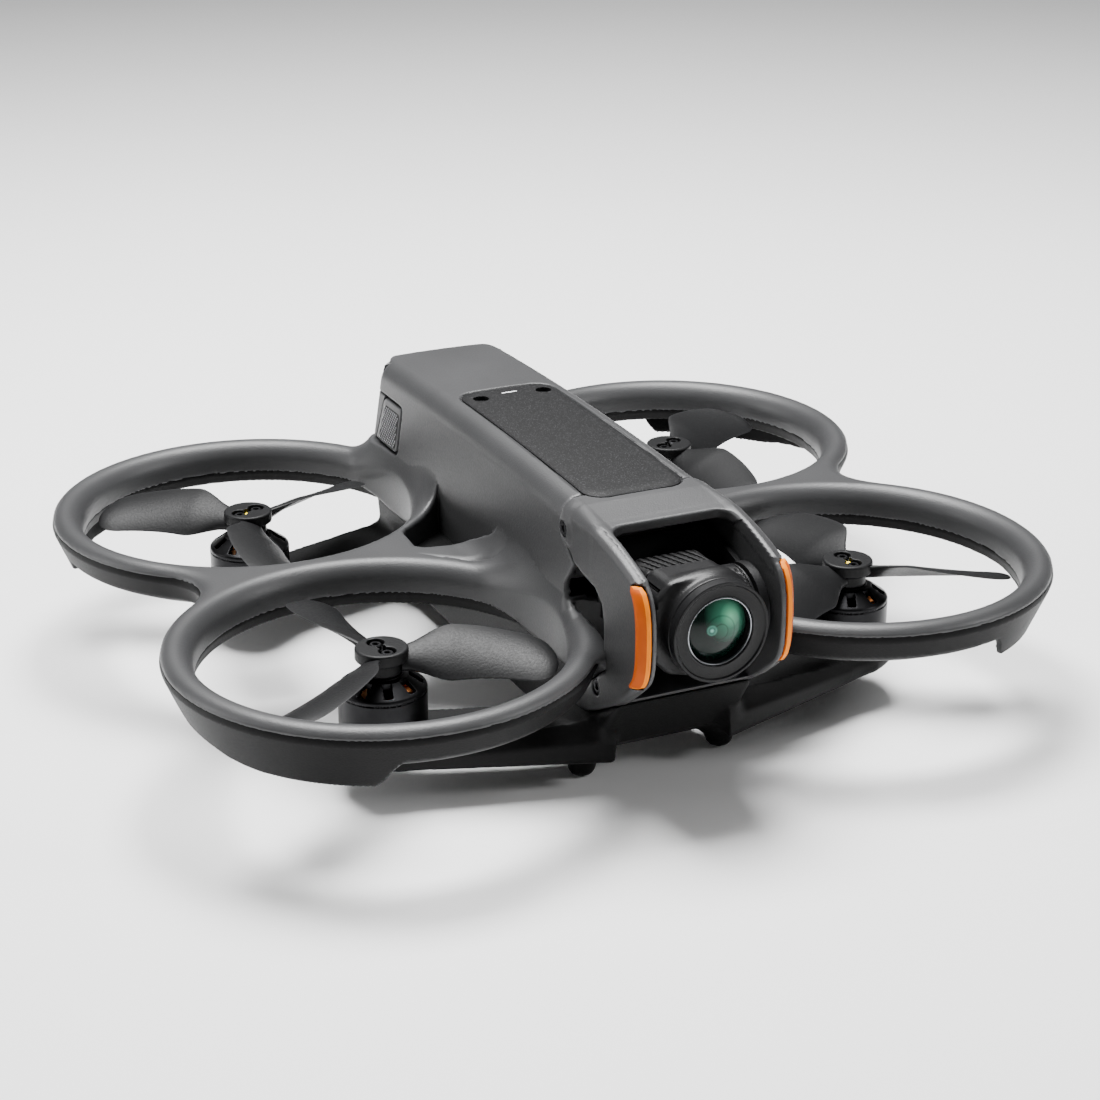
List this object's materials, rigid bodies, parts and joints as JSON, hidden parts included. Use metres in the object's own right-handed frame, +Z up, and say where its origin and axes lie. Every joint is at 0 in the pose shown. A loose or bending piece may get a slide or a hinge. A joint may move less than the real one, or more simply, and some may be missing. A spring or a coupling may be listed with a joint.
{
  "type": "ducted camera drone",
  "caption": "Compact camera drone with guarded three-blade rotors, tilting camera in a bumper loop and a rear slide-out battery.",
  "frame": {"origin": "middle of the footprint on the ground, under the fuselage", "axes": "-Y towards the nose and lens, +X towards the drone's own left side, +Z up"},
  "size_m": [0.2118, 0.1846, 0.0635],
  "materials": {
    "shell_grey": "fine spark-eroded texture, satin mid-grey",
    "panel_dark": "dark fine-grained panel",
    "stripe_orange": "glossy orange",
    "screw_black": "black oxide",
    "frame_black": "near-black satin texture",
    "sensor_black": "gloss window",
    "heat_sink_aluminium": "bead-blasted",
    "circuit_board": "solder mask",
    "ceramic_tan": "ceramic patch",
    "contact_brass": "gold-flashed contacts",
    "port_steel": "bare steel",
    "camera_black": "black satin",
    "camera_charcoal": "charcoal satin",
    "damper_rubber": "soft rubber",
    "flex_film": "amber polyimide film",
    "lens_glass": "green anti-reflection coating",
    "filter_black": "black satin ring",
    "cell_foil": "laminated foil",
    "light_window": "frosted windows",
    "button_grey": "knurled grey",
    "spring_steel": "bright steel",
    "motor_black": "black anodised satin",
    "copper_winding": "enamelled copper wire on laminations",
    "propeller_grey": "dark grey satin nylon"
  },
  "bodies": {
    "root": {"upper_shell": "shell_grey", "top_panel": "panel_dark", "front_bumper": "shell_grey", "bumper_stripes": "stripe_orange", "frame_screws": "screw_black", "lower_frame": "frame_black", "lower_guard_left": "frame_black", "lower_guard_right": "frame_black", "belly_cover": "frame_black", "vision_cameras": "sensor_black", "infrared_sensor": "sensor_black", "heat_sink": "heat_sink_aluminium", "main_board": "circuit_board", "gps_module": "ceramic_tan", "battery_connector": "contact_brass", "usb_port": "port_steel", "card_slot": "port_steel", "gimbal_mount": "camera_black", "damper_balls": "damper_rubber", "tilt_motor": "camera_black", "flex_cable": "flex_film", "motor_base_front_right": "motor_black", "motor_base_front_left": "motor_black", "motor_base_rear_right": "motor_black", "motor_base_rear_left": "motor_black", "stator_front_right": "copper_winding", "stator_front_left": "copper_winding", "stator_rear_right": "copper_winding", "stator_rear_left": "copper_winding", "motor_bearings": "port_steel"},
    "rotor_front_right": {"motor_bell_front_right": "motor_black", "motor_shaft_front_right": "spring_steel", "propeller_front_right": "propeller_grey", "prop_screws_front_right": "screw_black"},
    "rotor_front_left": {"motor_bell_front_left": "motor_black", "motor_shaft_front_left": "spring_steel", "propeller_front_left": "propeller_grey", "prop_screws_front_left": "screw_black"},
    "rotor_rear_right": {"motor_bell_rear_right": "motor_black", "motor_shaft_rear_right": "spring_steel", "propeller_rear_right": "propeller_grey", "prop_screws_rear_right": "screw_black"},
    "rotor_rear_left": {"motor_bell_rear_left": "motor_black", "motor_shaft_rear_left": "spring_steel", "propeller_rear_left": "propeller_grey", "prop_screws_rear_left": "screw_black"},
    "camera": {"camera_body": "camera_charcoal", "camera_rear_cover": "camera_black", "lens_barrel": "camera_black", "lens_glass": "lens_glass"},
    "filter": {"filter_ring": "filter_black"},
    "battery": {"battery_case": "camera_black", "battery_cap": "shell_grey", "battery_cells": "cell_foil", "battery_lights": "light_window", "release_spring_left": "spring_steel", "release_spring_right": "spring_steel"},
    "power_button": {"power_button": "button_grey"},
    "release_left": {"release_button_left": "button_grey"},
    "release_right": {"release_button_right": "button_grey"}
  },
  "joints": [
    {"name": "spin_front_right", "type": "hinge", "parent": "root", "child": "rotor_front_right", "pos_m": [-0.0585, -0.0449, 0.02], "axis": [0, 0, 1], "continuous": true},
    {"name": "spin_front_left", "type": "hinge", "parent": "root", "child": "rotor_front_left", "pos_m": [0.0585, -0.0449, 0.02], "axis": [0, 0, 1], "continuous": true},
    {"name": "spin_rear_right", "type": "hinge", "parent": "root", "child": "rotor_rear_right", "pos_m": [-0.0585, 0.0449, 0.02], "axis": [0, 0, 1], "continuous": true},
    {"name": "spin_rear_left", "type": "hinge", "parent": "root", "child": "rotor_rear_left", "pos_m": [0.0585, 0.0449, 0.02], "axis": [0, 0, 1], "continuous": true},
    {"name": "camera_tilt", "type": "hinge", "parent": "root", "child": "camera", "pos_m": [0, -0.0775, 0.043], "axis": [1, 0, 0], "range_deg": [-90, 95]},
    {"name": "filter_twist", "type": "hinge", "parent": "camera", "child": "filter", "pos_m": [0, -0.088, 0.043], "axis": [0, -1, 0], "range_deg": [0, 30]},
    {"name": "battery_slide", "type": "slide", "parent": "root", "child": "battery", "axis": [0, 1, 0], "range_m": [0, 0.085]},
    {"name": "power_press", "type": "slide", "parent": "battery", "child": "power_button", "axis": [0, -1, 0], "range_m": [0, 0.0008], "stiffness_N_per_m": 800, "springref_m": -0.0005},
    {"name": "release_press_left", "type": "slide", "parent": "battery", "child": "release_left", "axis": [-1, 0, 0], "range_m": [0, 0.0015], "stiffness_N_per_m": 800, "springref_m": -0.0005, "deforming": ["release_spring_left"]},
    {"name": "release_press_right", "type": "slide", "parent": "battery", "child": "release_right", "axis": [1, 0, 0], "range_m": [0, 0.0015], "stiffness_N_per_m": 800, "springref_m": -0.0005, "deforming": ["release_spring_right"]}
  ]
}
